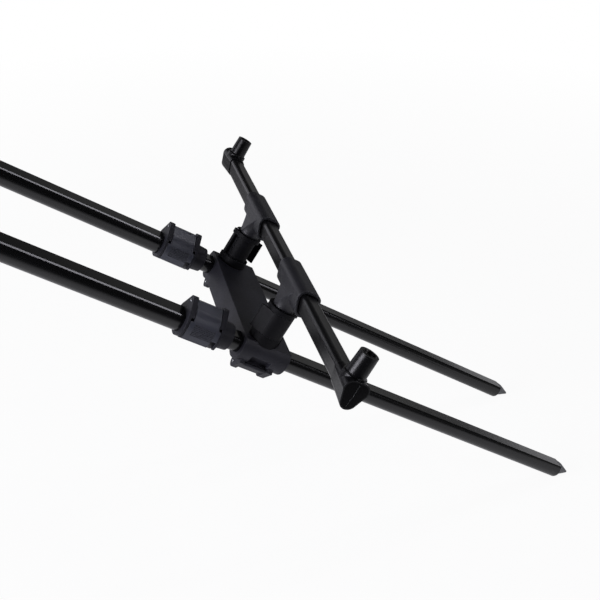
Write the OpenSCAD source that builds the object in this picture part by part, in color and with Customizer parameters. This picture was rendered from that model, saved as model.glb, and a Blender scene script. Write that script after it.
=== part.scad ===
// Rod pod: two telescopic poles on ground spikes, two sliding carriages that carry
// buzz bars in cam clamps, and two splayed folding legs at the front.
// Everything is drawn in the pole frame (x across, y up the poles, z along the bar stems,
// zero on the pole axes under the rear bar) and set on the ground by place().

/* [Poles] */
// slope of the poles above the ground
slope = 32; // [20:1:45]
// distance between the two pole axes
pole_spacing = 140; // [130:1:170]
// outside diameter of the thick pole tube
outer_d = 22.3; // [21.5:0.1:23]
// outside diameter of the thin pole tube
inner_d = 19; // [18:0.1:19.4]
// wall of every tube
tube_wall = 1.2; // [0.8:0.05:1.3]
// height of the flat of the D section as a share of the radius
flat_ratio = 0.62; // [0.55:0.01:0.72]
// width taken off the two edges of the flat
flat_edge = 1; // [0.6:0.1:1.6]
// from the rear bar to the tip of the rear spike
rear_reach = 377; // [330:1:450]
// from the rear bar to the mouth of the pole collar
collar_at = 72.6; // [70:0.1:100]
// overlap of the thin tube inside the thick one
overlap = 160; // [140:1:200]
// distance between the two buzz bars, measured along the poles
bar_spacing = 600; // [560:1:700]
// from the front bar to the pivot of the folding legs
pivot_ahead = 98; // [90:1:130]

/* [Spikes] */
// length of the cone
spike_cone = 17.5; // [14:0.5:26]
// radius of the blunt tip
spike_tip = 0.8; // [0.5:0.1:2]
// length of the stub inside the tube
spike_stub = 22; // [15:1:40]

/* [Collars] */
// outside diameter of the collar barrel
collar_d = 29; // [28:0.5:32]
// length of the collar with its nose
collar_len = 44.6; // [42:0.1:50]
// length of the tapered nose
nose_len = 12; // [10:0.5:13]
// diameter of the nose where it leaves the barrel
nose_root_d = 25; // [24:0.2:27]
// diameter of the end of the nose
nose_d = 22.8; // [22:0.2:24]
// depth of the thick tube in the collar
mouth_depth = 13; // [10:0.5:16]

/* [Cam levers] */
// diameter of the pivot pins
pin_d = 2.5; // [2:0.1:3]
// radius of the lever knuckle
knuckle_r = 2.9; // [2.6:0.1:3.4]
// throw of the cam
cam_throw = 0.3; // [0.2:0.05:0.5]
// thickness of the lever shell
lever_t = 3; // [2.4:0.1:3.4]
// radius of the ears around the pins
ear_r = 4.3; // [3.8:0.1:4.8]
// radius of the knuckle of a carriage lever
block_knuckle_r = 3.6; // [3:0.1:4]
// radius of the ears of a carriage lever
block_ear_r = 5; // [4.4:0.1:5.4]
// diameter of the pins of the stem levers
stem_pin_d = 2; // [1.6:0.1:2.2]
// radius of the knuckle of a stem lever
stem_knuckle_r = 2; // [1.8:0.1:2.4]
// radius of the ears of a stem lever
stem_ear_r = 2.9; // [2.6:0.1:3.2]
// thickness of the shell of a stem lever
stem_lever_t = 2.2; // [2:0.1:2.8]
// length of the finger tab of a stem lever
stem_tab = 12; // [8:0.5:14]
// turn of the collar lever round its barrel
collar_wrap = 108; // [100:1:125]
// turn of the carriage lever round its sleeve
block_wrap = 40; // [39:1:46]
// turn of the stem lever round its clamp
stem_wrap = 135; // [120:1:145]

/* [Carriages] */
// length of the carriage along the poles
block_len = 44; // [42:0.5:60]
// length of the carriage in front of the bar
block_front = 18; // [16:0.5:24]
// outside diameter of the sleeves round the poles
sleeve_d = 29; // [28.5:0.5:32]
// height of the top of the carriage above the pole axes
block_top = 10; // [9.6:0.1:12]
// depth of the underside of the carriage below the pole axes
block_low = 12; // [9:0.5:13]
// thickness of the carriage walls
block_wall = 3; // [2:0.25:4]
// wall left under the finger pockets beside the carriage levers
pocket_wall = 1.1; // [0.8:0.1:1.5]
// width of the finger pockets
pocket_w = 10; // [7:0.5:11]

/* [Stem clamps] */
// diameter of the round stems of the bar
stem_d = 16.5; // [15:0.5:17]
// outside diameter of the clamp barrel
clamp_d = 20.6; // [20:0.2:22]
// outside diameter of the base ring and the top rim
rim_d = 25.6; // [25:0.2:28]
// height of the clamp above the carriage
clamp_len = 33; // [30:0.5:45]
// height of the base ring
base_h = 7.5; // [6.5:0.5:9]
// height of the top rim
rim_h = 3.8; // [3:0.2:5]

/* [Buzz bars] */
// height of the top of the bar above the pole axes
bar_top = 72; // [70:0.5:90]
// width of the bar section
bar_w = 14.5; // [13:0.5:17]
// height of the bar section
bar_h = 17; // [16:0.5:20]
// corner radius of the bar section
bar_r = 3.8; // [3:0.1:4.6]
// wall of the tee sleeves and end caps over the bar
sleeve_wall = 3; // [2.4:0.1:3.4]
// length of the tee sleeves
tee_len = 60; // [50:1:80]
// distance between the two sockets of a bar
socket_spacing = 422; // [380:1:520]
// length of the end caps
cap_len = 28; // [25:1:36]
// length of the end caps beyond the socket
cap_over = 12.5; // [11:0.5:16]
// height of the socket pillars above the bar
pillar_h = 19.7; // [16:0.5:30]
// diameter of the pillars at the top
pillar_d = 15; // [14:0.5:18]
// diameter of the hole in the threaded sockets
socket_d = 8.3; // [8:0.1:8.8]
// depth of the threaded sockets
socket_depth = 13; // [10:0.5:14]

/* [Front legs] */
// outward lean of the leg pivots
splay = 12; // [5:1:20]
// turn of the legs away from the poles
leg_turn = 72; // [60:1:90]
// distance of the leg axis from the pole axis
leg_off = 31.5; // [31:0.5:38]
// from the pivot to the mouth of the leg collar
leg_collar_at = 320; // [260:1:380]
// overlap of the thin leg tube inside the thick one
leg_overlap = 140; // [100:1:180]
// diameter of the pivot bolts
bolt_d = 6; // [5:0.5:8]

/* [Hidden] */
$fn = 96;
// clearance of sliding and turning fits
fit_gap = 0.05;
// clearance of pressed and bonded fits
set_gap = 0.02;
// clearance between a lever and what it lies against
lever_gap = 0.3;
// clearance beside a lever
side_gap = 0.35;
// clearance of the seated faces of lift-out parts
seat_gap = 0.1;
// overlap used for clean cuts
eps = 1;

inner_r = inner_d / 2;
outer_r = outer_d / 2;
collar_r = collar_d / 2;
sleeve_r = sleeve_d / 2;
clamp_r = clamp_d / 2;
rim_r = rim_d / 2;
stem_r = stem_d / 2;
pin_r = pin_d / 2;
stem_pin_r = stem_pin_d / 2;
// how far a pin stands out of its ears
pin_proud = 0.3;
// slope of the two small faces beside the flat of a D tube
edge_slope = 26;
half = pole_spacing / 2;
pivot_y = bar_spacing + pivot_ahead;
mouth_y = collar_at - mouth_depth;

// cam lever layout, measured from the mouth of each sleeve
barrel_len = collar_len - nose_len;
collar_ear = 4.6;
collar_ear_a = [0, collar_ear];
collar_ear_b = [barrel_len - collar_ear, barrel_len];
collar_lever = [collar_ear_a[1] + side_gap, collar_ear_b[0] - side_gap];
block_lever = [10, block_len - 13];
block_ear_a = [5.5, block_lever[0] - side_gap];
block_ear_b = [block_lever[1] + side_gap, block_len - 7];
// turn from the end of a carriage lever's shell to the middle of the finger pocket
pocket_turn = 22;
// straight edge of a carriage lever before its bead
block_edge = 0.5;
stem_lever = [base_h + side_gap, clamp_len - rim_h - side_gap];
collar_pivot = collar_r + seat_gap + cam_throw + knuckle_r;
block_pivot = sleeve_r + seat_gap + cam_throw + block_knuckle_r;
stem_pivot = clamp_r + seat_gap + cam_throw + stem_knuckle_r;
// depth of the seat of a stem clamp in the carriage
seat_depth = 1.5;
// height of the lower ears of a stem clamp above the carriage
ear_lift = 0.5;
// width of the slits, half width of the tongue and solid length left at each end
slit_w = 0.8;
tongue_half = 3.8;
tongue_end = 2;
// start of the slits as a share of the radius of the sleeve
slit_from = 0.45;

// end bands of a collar: turn of the thick part, step below the lever, turn past the lever
ear_turn = 55;
band_step = 0.2;
band_over = 14;
// how far straight flanks lie inside the circles that they join
sink = 0.1;

// lever shells: angle where a shell leaves its knuckle, room to swing past the ears,
// extra width of the collar levers, straight free edge and how much thinner it is each side,
// notch in the free corner
shell_from = 92;
swing_room = 2;
shell_wide = 2.4;
shell_edge = 3;
edge_step = 0.1;
shell_notch = 4.5;
// grip grooves of the collar levers
grip_count = 7;
grip_from = 160;
grip_step = 4.5;
grip_r = 0.5;
grip_end = 2;

// bar section: three equal corner circles
bar_a = bar_w / 2 - bar_r;
bar_zt = bar_top - bar_r;
bar_zb = bar_top - bar_h + bar_r;
pick_corners = [[-bar_a, bar_zt], [bar_a, bar_zt], [0, bar_zb]];
tee_r = bar_r + sleeve_wall;
cap_in = socket_spacing / 2 - cap_len + cap_over;
cap_out = cap_in + cap_len;
// length of the bar inside each cap, and wall of the cap at its mouth
cap_grip = 11;
cap_wall = 0.8;
cap_r = bar_r + cap_wall;
bar_end = cap_in + cap_grip;
// socket pillar: widening towards its foot, hollow fillet, threaded insert
pillar_spread = 0.5;
pillar_fillet = 1.5;
pillar_top = bar_top + pillar_h;
insert_r = 5.6;
insert_floor = 1.8;
insert_proud = 0.3;
insert_z = pillar_top + insert_proud - socket_depth - insert_floor;
// tee: play under the stem, shoulder on the clamp, waist under the bar
stem_lift = 1;
neck_over = 1.5;
neck_waist = 1;
// relief at the two mouths of a tee
mouth_gap = 0.8;
mouth_relief = 2;

// ground position
z_shift = rear_reach * sin(slope) + spike_tip * cos(slope);
leg_dz = cos(leg_turn) * sin(slope) + sin(leg_turn) * cos(splay) * cos(slope);
leg_dy = sin(leg_turn) * cos(splay) * sin(slope) - cos(leg_turn) * cos(slope);
leg_drop = pivot_y * sin(slope) + leg_off * sin(splay) * cos(slope) + z_shift;
leg_len = (leg_drop - spike_tip * sqrt(1 - leg_dz * leg_dz)) / leg_dz;
leg_front = pivot_y * cos(slope) - leg_off * sin(splay) * sin(slope) + leg_len * leg_dy;
leg_bulge = inner_r * sqrt(1 - leg_dy * leg_dy) - spike_cone * leg_dy;
pod_front = leg_front + leg_bulge;
pod_rear = -rear_reach * cos(slope) - spike_tip * sin(slope);
y_shift = -(pod_front + pod_rear) / 2;

// front end
head_r = 14;
head_len = 64;
head_tip = 14;
head_bevel = 2;
disc_r = 14;
disc_in = 19;
disc_out = 28;
nut_seat = 8;
nut_h = 5;
nut_r = bolt_d * 0.96;
nut_room = 1;
bolt_head_h = 4.5;
bolt_proud = 0.6;
leg_socket = [15, 53];
leg_floor = 4;
leg_tube_from = leg_socket[0] + leg_floor;
// half width of the web between pivot disc and leg socket, and its reach into the socket
web_half = 11.2;
web_reach = 6;
leg_inner_from = leg_collar_at + mouth_depth - leg_overlap;
// wall between the end of the pole tube and the pivot bolt
head_wall = 2;
tube_front = pivot_y - head_tip - head_wall;

// colours
anodised = "#141416";
plastic = "#26272b";
steel = "#b8babd";

// Placing
module place() {
    translate([0, y_shift, z_shift]) rotate([slope, 0, 0]) children();
}

// along a pole: local z runs down the pole, local y is the stem side
module on_pole(x, y) {
    translate([x, y, 0]) rotate([90, 0, 0]) children();
}

module side(s) {
    mirror([s < 0 ? 1 : 0, 0, 0]) children();
}

// along a leg: local x runs out along the pivot, local z down the leg
module on_leg() {
    translate([half, pivot_y, 0]) rotate([90 + leg_turn, -splay, 0])
        translate([leg_off, 0, 0]) children();
}

module on_head() {
    translate([half, pivot_y, 0]) rotate([90, -splay, 0]) children();
}

// along the bar: profile in y and z, extruded across
module across(x0, x1) {
    translate([x0, 0, 0]) rotate([90, 0, 90]) linear_extrude(x1 - x0) children();
}

// Profiles
module d_profile(r, g = 0) {
    f = flat_ratio * r + g;
    x1 = r * sqrt(1 - flat_ratio * flat_ratio) - flat_edge + g * tan(edge_slope / 2);
    out = 2 * r;
    low = f - tan(edge_slope) * (out - x1);
    intersection() {
        circle(r = r + g);
        polygon([[-out, -out], [out, -out], [out, low], [x1, f], [-x1, f], [-out, low]]);
    }
}

// part of a ring between two angles
module ring_sector(ri, ro, a0, a1) {
    n = 8;
    step = (a1 - a0) / n;
    fan = [for (i = [0 : n]) 3 * ro * [cos(a0 + i * step), sin(a0 + i * step)]];
    intersection() {
        difference() {
            circle(r = ro);
            circle(r = ri);
        }
        polygon(concat([[0, 0]], fan));
    }
}

// flat sides of the bar's section, at r from the centres of its corners
module pick_flats(r) {
    run = [bar_a, bar_zt - bar_zb];
    n = [run[1], -run[0]] / norm(run);
    polygon([
        [-bar_a, bar_zt + r], [bar_a, bar_zt + r], [bar_a, bar_zt] + r * n, [0, bar_zb] + r * n,
        [0, bar_zb], [-r * n[0], bar_zb + r * n[1]], [-bar_a - r * n[0], bar_zt + r * n[1]]
    ]);
}

// rounded triangle of the bar, with corner radius r
module pick(r) {
    for (p = pick_corners) {
        translate(p) circle(r = r);
    }
    pick_flats(r);
}

// rod of that section
module pick_rod(r, x0, x1) {
    across(x0, x1) pick_flats(r - sink);
    for (p = pick_corners) {
        across(x0, x1) translate(p) circle(r = r);
    }
}

// the same section growing from corner radius r0 at x0 to r1 at x1
module flared_pick(r0, r1, x0, x1) {
    len = x1 - x0;
    across(x0, x1) polygon(pick_corners);
    for (i = [0 : 2]) {
        p = pick_corners[i];
        run = pick_corners[(i + 1) % 3] - p;
        translate([x0, p[0], p[1]]) {
            rotate([0, 90, 0]) cylinder(r1 = r0, r2 = r1, h = len);
            rotate([atan2(run[1], run[0]), 0, 0]) translate([0, norm(run), 0]) rotate([90, 0, 0])
                linear_extrude(norm(run))
                    polygon([[0, 0], [len, 0], [len, r1 - sink], [0, r0 - sink]]);
        }
    }
}

// Cam clamp
// straight flank on the +x side between a circle of radius re at y = rp and one of radius rs at 0
module ear_flank(rp, re, rs) {
    ny = (rs - re) / rp;
    n = [sqrt(1 - ny * ny), ny];
    polygon([[0, 0], (rs - sink) * n, [0, rp] + (re - sink) * n, [0, rp]]);
}

// ear of radius re round a pin, running out into the sleeve of radius rs
module ear(rp, re, z, rs) {
    translate([0, 0, z[0]]) linear_extrude(z[1] - z[0]) {
        translate([0, rp]) circle(r = re);
        ear_flank(rp, re, rs);
        mirror([1, 0]) ear_flank(rp, re, rs);
    }
}

module cam_pin(rp, r, z0, z1) {
    translate([0, rp, z0]) cylinder(r = r, h = z1 - z0);
}

module pin_hole(rp, r, z0, z1) {
    translate([0, rp, z0 - eps]) cylinder(r = r + set_gap, h = z1 - z0 + 2 * eps);
}

// slits that free a tongue of the sleeve under the cam
module tongue_slits(r, z) {
    len = z[1] - z[0] - 2 * tongue_end;
    translate([0, r * slit_from, z[0] + tongue_end]) {
        for (x = [-tongue_half - slit_w, tongue_half]) {
            translate([x, 0, 0]) cube([slit_w, r, len]);
        }
        translate([-tongue_half - slit_w, 0, 0]) cube([2 * (tongue_half + slit_w), r, slit_w]);
    }
}

// shell of a lever with a thinner straight edge that ends in a bead
module lever_shell(ri, t, a0, a1, tail, h) {
    linear_extrude(h) ring_sector(ri, ri + t, a0, a1);
    rotate(a1) {
        translate([ri + edge_step, -eps, 0]) cube([t - 2 * edge_step, tail + eps, h]);
        translate([ri + t / 2, tail, 0]) cylinder(r = t / 2, h = h);
    }
}

// pivot on +y, shell over the -x side
module cam_lever(rs, rp, rk, pr, t, z, wrap, tail, wide = 0, grooves = 0, notch = 0) {
    ri = rs + lever_gap;
    ro = ri + t;
    a1 = 90 + wrap;
    len = z[1] - z[0];
    difference() {
        union() {
            translate([0, 0, z[0]]) {
                translate([0, rp - cam_throw, 0]) cylinder(r = rk, h = len);
                linear_extrude(len) difference() {
                    mirror([1, 0]) ear_flank(rp - cam_throw, rk, ro);
                    circle(r = ri);
                }
                lever_shell(ri, t, shell_from, a1, tail, len);
            }
            if (wide > 0) {
                translate([0, 0, z[0] - wide]) lever_shell(ri, t,
                    90 + ear_turn + asin(swing_room / rs), a1, tail, len + 2 * wide);
            }
        }
        translate([0, rp, z[0] - eps]) cylinder(r = pr + fit_gap, h = len + 2 * eps);
        for (i = [0 : 1 : grooves - 1]) {
            rotate(grip_from + grip_step * i) translate([ro + grip_r / 3, 0, z[0] + grip_end])
                cylinder(r = grip_r, h = len - 2 * grip_end);
        }
        // finger notch in the free corner
        if (notch > 0) {
            rotate(a1) translate([ri - eps, tail - 1.6 * notch, z[1] + wide - notch])
                cube([t + 2 * eps, 3 * notch, notch + eps]);
        }
    }
}

// Tubes and spikes
module d_tube(r, len) {
    linear_extrude(len) difference() {
        d_profile(r);
        d_profile(r - tube_wall);
    }
}

// local z = 0 at the end of the tube
module spike() {
    intersection() {
        cylinder(r1 = inner_r, r2 = spike_tip, h = spike_cone);
        linear_extrude(spike_cone) d_profile(inner_r);
    }
    translate([0, 0, -spike_stub]) linear_extrude(spike_stub)
        d_profile(inner_r - tube_wall, -set_gap);
}

// end band of a collar, flush with the lever: thick beside the knuckle, thin beside the shell
module collar_band(thick, thin) {
    band_r = collar_r + lever_gap + lever_t - band_step;
    root_r = collar_r - eps;
    ear(collar_pivot, ear_r, thick, collar_r);
    translate([0, 0, thick[0]]) linear_extrude(thick[1] - thick[0]) {
        mirror([1, 0]) ear_flank(collar_pivot, ear_r, band_r);
        ring_sector(root_r, band_r, 90, 90 + ear_turn);
    }
    translate([0, 0, thin[0]]) linear_extrude(thin[1] - thin[0])
        ring_sector(root_r, band_r, 88 + ear_turn, 90 + collar_wrap + band_over);
}

// local z = 0 at the mouth that takes the thick tube
module collar() {
    thin = collar_ear - shell_wide;
    difference() {
        union() {
            cylinder(r = collar_r, h = barrel_len);
            translate([0, 0, barrel_len])
                cylinder(r1 = nose_root_d / 2, r2 = nose_d / 2, h = nose_len);
            collar_band(collar_ear_a, [0, thin]);
            collar_band(collar_ear_b, [barrel_len - thin, barrel_len]);
        }
        translate([0, 0, -eps]) linear_extrude(mouth_depth + eps) d_profile(outer_r, set_gap);
        translate([0, 0, mouth_depth - eps]) linear_extrude(collar_len)
            d_profile(inner_r, fit_gap);
        pin_hole(collar_pivot, pin_r, 0, collar_len);
        tongue_slits(collar_r, [mouth_depth, collar_lever[1]]);
    }
}

module collar_cam_lever() {
    cam_lever(collar_r, collar_pivot, knuckle_r, pin_r, lever_t, collar_lever, collar_wrap,
        shell_edge, shell_wide, grip_count, shell_notch);
}

module collar_cam_pin() {
    cam_pin(collar_pivot, pin_r, collar_ear_a[0] - pin_proud, collar_ear_b[1] + pin_proud);
}

// Carriage
module block_clamp_place(s) {
    on_pole(s * half, block_front) mirror([0, 1, 0]) side(-s) children();
}

// ear under a sleeve, flush with the lever on the lever's side
module block_ear(z) {
    ear(block_pivot, block_ear_r, z, sleeve_r);
    translate([0, 0, z[0]]) linear_extrude(z[1] - z[0]) mirror([1, 0])
        ear_flank(block_pivot, block_ear_r, sleeve_r + lever_gap + lever_t - band_step);
}

// r is the radius of the pole tube that the carriage slides on
module carriage(r) {
    back = block_front - block_len;
    grip = block_lever[1] - block_lever[0] - 2 * eps;
    pocket_r = r + fit_gap + pocket_wall;
    hollow = [half - sleeve_r - block_wall, block_len - 2 * block_wall,
        block_low + block_top - block_wall + eps];
    difference() {
        union() {
            translate([-half, back, -block_low])
                cube([pole_spacing, block_len, block_low + block_top]);
            for (s = [-1, 1]) {
                on_pole(s * half, block_front) linear_extrude(block_len) intersection() {
                    circle(r = sleeve_r);
                    translate([-sleeve_r, -sleeve_r]) square([2 * sleeve_r, sleeve_r + block_top]);
                }
                block_clamp_place(s) {
                    block_ear(block_ear_a);
                    block_ear(block_ear_b);
                }
            }
        }
        for (s = [-1, 1]) {
            on_pole(s * half, block_front + eps) linear_extrude(block_len + 2 * eps)
                d_profile(r, fit_gap);
            block_clamp_place(s) {
                pin_hole(block_pivot, pin_r, block_ear_a[0], block_ear_b[1]);
                tongue_slits(sleeve_r, block_lever);
                // finger pocket above the free edge of the lever
                rotate(90 + block_wrap + pocket_turn)
                    translate([pocket_r, -pocket_w / 2, block_lever[0] + eps])
                        cube([sleeve_r, pocket_w, grip]);
            }
            translate([s * half, 0, block_top - seat_depth])
                cylinder(r = rim_r + set_gap, h = seat_depth + eps);
            // hollow underside, one pocket each side of a middle rib
            side(s) translate([block_wall / 2, back + block_wall, -block_low - eps]) cube(hollow);
        }
    }
}

module block_cam_lever(s) {
    block_clamp_place(s) cam_lever(sleeve_r, block_pivot, block_knuckle_r, pin_r, lever_t,
        block_lever, block_wrap, block_edge);
}

module block_cam_pin(s) {
    block_clamp_place(s)
        cam_pin(block_pivot, pin_r, block_ear_a[0] - pin_proud, block_ear_b[1] + pin_proud);
}

// the two stem clamps of a carriage are the same part, one turned half round
module stem_place(s) {
    translate([s * half, 0, block_top - seat_depth]) rotate(s > 0 ? 180 : 0)
        mirror([0, 1, 0]) children();
}

module stem_clamp() {
    top = clamp_len + seat_depth;
    low = base_h + seat_depth;
    difference() {
        union() {
            cylinder(r = clamp_r, h = top);
            cylinder(r = rim_r, h = low);
            translate([0, 0, top - rim_h]) cylinder(r = rim_r, h = rim_h);
            ear(stem_pivot, stem_ear_r, [seat_depth + ear_lift, low], clamp_r);
            ear(stem_pivot, stem_ear_r, [top - rim_h, top], clamp_r);
        }
        translate([0, 0, -eps]) cylinder(r = stem_r + fit_gap, h = top + 2 * eps);
        pin_hole(stem_pivot, stem_pin_r, seat_depth, top);
        tongue_slits(clamp_r, [low, top - rim_h]);
    }
}

module stem_cam_lever() {
    translate([0, 0, seat_depth]) cam_lever(clamp_r, stem_pivot, stem_knuckle_r, stem_pin_r,
        stem_lever_t, stem_lever, stem_wrap, stem_tab);
}

module stem_cam_pin() {
    cam_pin(stem_pivot, stem_pin_r, seat_depth + ear_lift + seat_gap,
        clamp_len + seat_depth + pin_proud);
}

// Buzz bar
module bar_tube() {
    difference() {
        pick_rod(bar_r, -bar_end, bar_end);
        pick_rod(bar_r - tube_wall, -bar_end - eps, bar_end + eps);
    }
}

module tee(s) {
    z_clamp = block_top + clamp_len;
    flare = bar_zt - z_clamp;
    neck_r = stem_r + neck_over;
    waist = neck_r - neck_waist;
    difference() {
        union() {
            across(s * half - tee_len / 2, s * half + tee_len / 2) pick(tee_r);
            translate([s * half, 0, block_top + stem_lift])
                cylinder(r = stem_r, h = z_clamp - block_top);
            // neck that spreads into the sleeve
            intersection() {
                translate([s * half, 0, 0]) rotate_extrude() difference() {
                    translate([0, z_clamp + seat_gap]) square([neck_r + flare, flare]);
                    translate([neck_r + flare, z_clamp + seat_gap]) circle(r = flare);
                }
                across(s * half - tee_len / 2, s * half + tee_len / 2) polygon([
                    [-neck_r, z_clamp], [neck_r, z_clamp], [waist, bar_zb], [bar_a + tee_r, bar_zt],
                    [-bar_a - tee_r, bar_zt], [-waist, bar_zb]
                ]);
            }
        }
        across(-bar_end, bar_end) pick(bar_r + set_gap);
        for (x = [s * half - tee_len / 2, s * half + tee_len / 2]) {
            across(x - mouth_relief, x + mouth_relief) pick(bar_r + mouth_gap);
        }
    }
}

module bar_cap(s) {
    root_r = pillar_d / 2 + pillar_spread;
    foot_r = root_r + pillar_fillet;
    // top of the flared cap under the pillar
    cap_top = bar_zt + cap_r + (tee_r - cap_r) * (cap_len - cap_over) / cap_len;
    foot_z = cap_top + pillar_fillet;
    wide = bar_a + tee_r;
    difference() {
        side(s) {
            flared_pick(cap_r, tee_r, cap_in, cap_out);
            // pillar with a hollow fillet at its foot, kept inside the width of the cap
            intersection() {
                translate([socket_spacing / 2, 0, 0]) rotate_extrude() difference() {
                    polygon([
                        [0, bar_zt], [foot_r, bar_zt], [foot_r, foot_z],
                        [root_r, foot_z], [pillar_d / 2, pillar_top], [0, pillar_top]
                    ]);
                    translate([foot_r, foot_z]) circle(r = pillar_fillet);
                }
                across(cap_in, cap_out)
                    translate([-wide, bar_zt]) square([2 * wide, pillar_top - bar_zt]);
            }
        }
        side(s) {
            across(cap_in - eps, bar_end) pick(bar_r + set_gap);
            translate([socket_spacing / 2, 0, insert_z])
                cylinder(r = insert_r + set_gap, h = pillar_top - insert_z + eps);
        }
    }
}

module bar_insert(s) {
    translate([s * socket_spacing / 2, 0, insert_z]) difference() {
        cylinder(r = insert_r, h = socket_depth + insert_floor);
        translate([0, 0, insert_floor]) cylinder(r = socket_d / 2, h = socket_depth + eps);
    }
}

// Front end
module head_boss(x0, x1, r) {
    translate([x0, 0, 0]) rotate([0, 90, 0]) cylinder(r = r, h = x1 - x0);
}

module head_body() {
    difference() {
        union() {
            on_pole(half, pivot_y + head_tip) {
                cylinder(r1 = head_r - head_bevel, r2 = head_r, h = head_bevel);
                translate([0, 0, head_bevel]) cylinder(r = head_r, h = head_len - head_bevel);
            }
            on_head() head_boss(0, disc_in, disc_r);
        }
        on_pole(half, tube_front + set_gap) linear_extrude(head_len) d_profile(outer_r, set_gap);
        on_head() {
            head_boss(-head_r - eps, disc_in + eps, bolt_d / 2 + set_gap);
            head_boss(-head_r - eps, -nut_seat, nut_r + nut_room);
        }
    }
}

module leg_head_body() {
    web_in = disc_in + lever_gap - leg_off;
    web_out = disc_out - leg_off;
    difference() {
        union() {
            head_boss(web_in, web_out, disc_r);
            translate([web_in, -web_half, 0])
                cube([web_out - web_in, 2 * web_half, leg_socket[0] + web_reach]);
            translate([0, 0, leg_socket[0]]) {
                cylinder(r1 = head_r - head_bevel, r2 = head_r, h = head_bevel);
                translate([0, 0, head_bevel])
                    cylinder(r = head_r, h = leg_socket[1] - leg_socket[0] - head_bevel);
            }
        }
        head_boss(web_in - eps, web_out + eps, bolt_d / 2 + fit_gap);
        translate([0, 0, leg_tube_from - set_gap]) linear_extrude(head_len)
            d_profile(outer_r, set_gap);
    }
}

// Sub-parts, s is -1 for the left and 1 for the right
module pole_tube(s) {
    color(anodised) place() on_pole(s * half, tube_front) d_tube(outer_r, tube_front - mouth_y);
}

module pole_collar(s) {
    color(plastic) place() on_pole(s * half, collar_at) collar();
}

module pole_collar_pins() {
    color(steel) place() for (s = [-1, 1]) on_pole(s * half, collar_at) collar_cam_pin();
}

module pole_collar_lever(s) {
    color(plastic) place() on_pole(s * half, collar_at) collar_cam_lever();
}

module pole_inner_tube(s) {
    front = mouth_y + overlap;
    color(anodised) place() on_pole(s * half, front)
        d_tube(inner_r, front + rear_reach - spike_cone);
}

module pole_spike(s) {
    color(anodised) place() on_pole(s * half, spike_cone - rear_reach) spike();
}

module pole_head(s) {
    color(plastic) place() side(s) head_body();
}

module leg_pivot_bolts() {
    color(steel) place() for (s = [-1, 1]) side(s) on_head() {
        under_head = disc_out + seat_gap;
        head_boss(-nut_seat - nut_h - bolt_proud, under_head + eps, bolt_d / 2);
        head_boss(under_head, under_head + bolt_head_h, bolt_d);
    }
}

module leg_pivot_nuts() {
    color(steel) place() for (s = [-1, 1]) side(s) on_head() difference() {
        translate([-nut_seat - nut_h, 0, 0]) rotate([0, 90, 0])
            cylinder(r = nut_r, h = nut_h, $fn = 6);
        head_boss(-nut_seat - nut_h - eps, -nut_seat + eps, bolt_d / 2 + set_gap);
    }
}

module block(y, r) {
    color(plastic) place() translate([0, y, 0]) carriage(r);
}

module block_lever(y, s) {
    color(plastic) place() translate([0, y, 0]) block_cam_lever(s);
}

module clamp_pins(y) {
    color(steel) place() translate([0, y, 0]) for (s = [-1, 1]) {
        block_cam_pin(s);
        stem_place(s) stem_cam_pin();
    }
}

module clamp_on_stem(y, s) {
    color(plastic) place() translate([0, y, 0]) stem_place(s) stem_clamp();
}

module stem_lever_on(y, s) {
    color(plastic) place() translate([0, y, 0]) stem_place(s) stem_cam_lever();
}

module buzz_bar_tube(y) {
    color(anodised) place() translate([0, y, 0]) bar_tube();
}

module buzz_bar_tee(y, s) {
    color(plastic) place() translate([0, y, 0]) tee(s);
}

module buzz_bar_cap(y, s) {
    color(plastic) place() translate([0, y, 0]) bar_cap(s);
}

module buzz_bar_inserts(y) {
    color(steel) place() translate([0, y, 0]) for (s = [-1, 1]) bar_insert(s);
}

module leg_head(s) {
    color(plastic) place() side(s) on_leg() leg_head_body();
}

module leg_outer_tube(s) {
    color(anodised) place() side(s) on_leg() translate([0, 0, leg_tube_from])
        d_tube(outer_r, leg_collar_at + mouth_depth - leg_tube_from);
}

module leg_collar(s) {
    color(plastic) place() side(s) on_leg() translate([0, 0, leg_collar_at]) side(-1) collar();
}

module leg_pin(s) {
    color(steel) place() side(s) on_leg() translate([0, 0, leg_collar_at]) collar_cam_pin();
}

module leg_lever(s) {
    color(plastic) place() side(s) on_leg() translate([0, 0, leg_collar_at]) side(-1) collar_cam_lever();
}

module leg_inner_tube(s) {
    color(anodised) place() side(s) on_leg() translate([0, 0, leg_inner_from])
        d_tube(inner_r, leg_len - spike_cone - leg_inner_from);
}

module leg_spike(s) {
    color(anodised) place() side(s) on_leg() translate([0, 0, leg_len - spike_cone]) spike();
}

pole_tube(-1);  // pole_tube_left
pole_tube(1);  // pole_tube_right
pole_collar(-1);  // pole_collar_left
pole_collar(1);  // pole_collar_right
pole_collar_pins();
pole_collar_lever(-1);  // pole_collar_lever_left
pole_collar_lever(1);  // pole_collar_lever_right
pole_inner_tube(-1);  // pole_inner_tube_left
pole_inner_tube(1);  // pole_inner_tube_right
pole_spike(-1);  // pole_spike_left
pole_spike(1);  // pole_spike_right
pole_head(-1);  // pole_head_left
pole_head(1);  // pole_head_right
leg_pivot_bolts();
leg_pivot_nuts();
block(0, inner_r);  // rear_block
clamp_pins(0);  // rear_clamp_pins
clamp_on_stem(0, -1);  // rear_stem_clamp_left
clamp_on_stem(0, 1);  // rear_stem_clamp_right
block_lever(0, -1);  // rear_block_lever_left
block_lever(0, 1);  // rear_block_lever_right
stem_lever_on(0, -1);  // rear_stem_lever_left
stem_lever_on(0, 1);  // rear_stem_lever_right
buzz_bar_tube(0);  // rear_bar_tube
buzz_bar_tee(0, -1);  // rear_tee_left
buzz_bar_tee(0, 1);  // rear_tee_right
buzz_bar_cap(0, -1);  // rear_bar_cap_left
buzz_bar_cap(0, 1);  // rear_bar_cap_right
buzz_bar_inserts(0);  // rear_bar_inserts
block(bar_spacing, outer_r);  // front_block
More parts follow.
